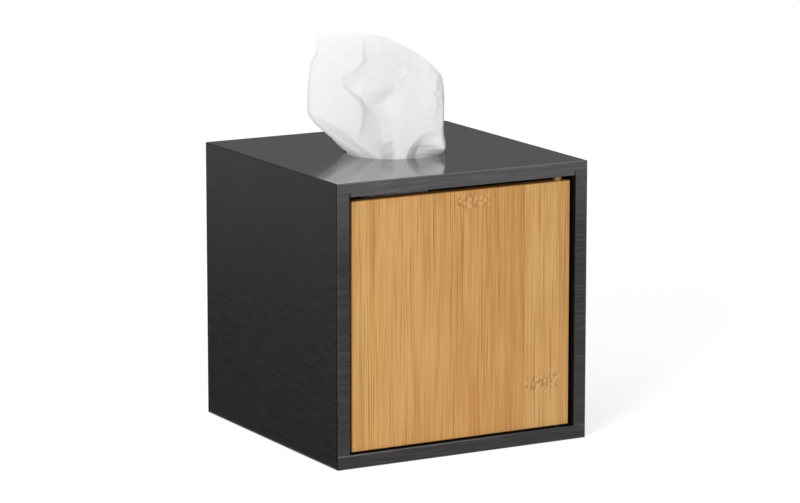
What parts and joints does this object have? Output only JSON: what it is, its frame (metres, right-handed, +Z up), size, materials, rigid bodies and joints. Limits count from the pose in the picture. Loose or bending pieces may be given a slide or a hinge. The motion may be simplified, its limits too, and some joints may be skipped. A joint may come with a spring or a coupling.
{
  "type": "tissue box holder",
  "caption": "Cube tissue box holder of black painted boards with an inset bamboo pivot door, a round hole in the top and a tissue pulled up through it.",
  "frame": {"origin": "middle of the underside of the case, on the surface that it stands on", "axes": "+Z up through the hole in the top, -Y out of the door, +X to the right as one faces the door"},
  "size_m": [0.14, 0.14, 0.1995],
  "materials": {
    "painted_board": "satin black paint with the grain showing through",
    "bamboo": "clear matt lacquer over edge-grain bamboo strips",
    "dowel_wood": "bare",
    "tissue_paper": "soft matt tissue",
    "magnet_plating": "nickel plated",
    "strike_steel": "brushed"
  },
  "bodies": {
    "case": {"top_board": "painted_board", "bottom_board": "painted_board", "left_side": "painted_board", "right_side": "painted_board", "back_panel": "painted_board", "door_stop_block": "painted_board", "catch_magnet": "magnet_plating", "tissue_stack": "tissue_paper", "pulled_tissue": "tissue_paper"},
    "door": {"door_panel": "bamboo", "upper_pivot_dowel": "dowel_wood", "lower_pivot_dowel": "dowel_wood", "strike_disc": "strike_steel"}
  },
  "joints": [
    {"name": "door_pivot", "type": "hinge", "parent": "case", "child": "door", "pos_m": [0.0561, -0.064, 0.0691], "axis": [0, 0, 1], "range_deg": [0, 110]}
  ]
}
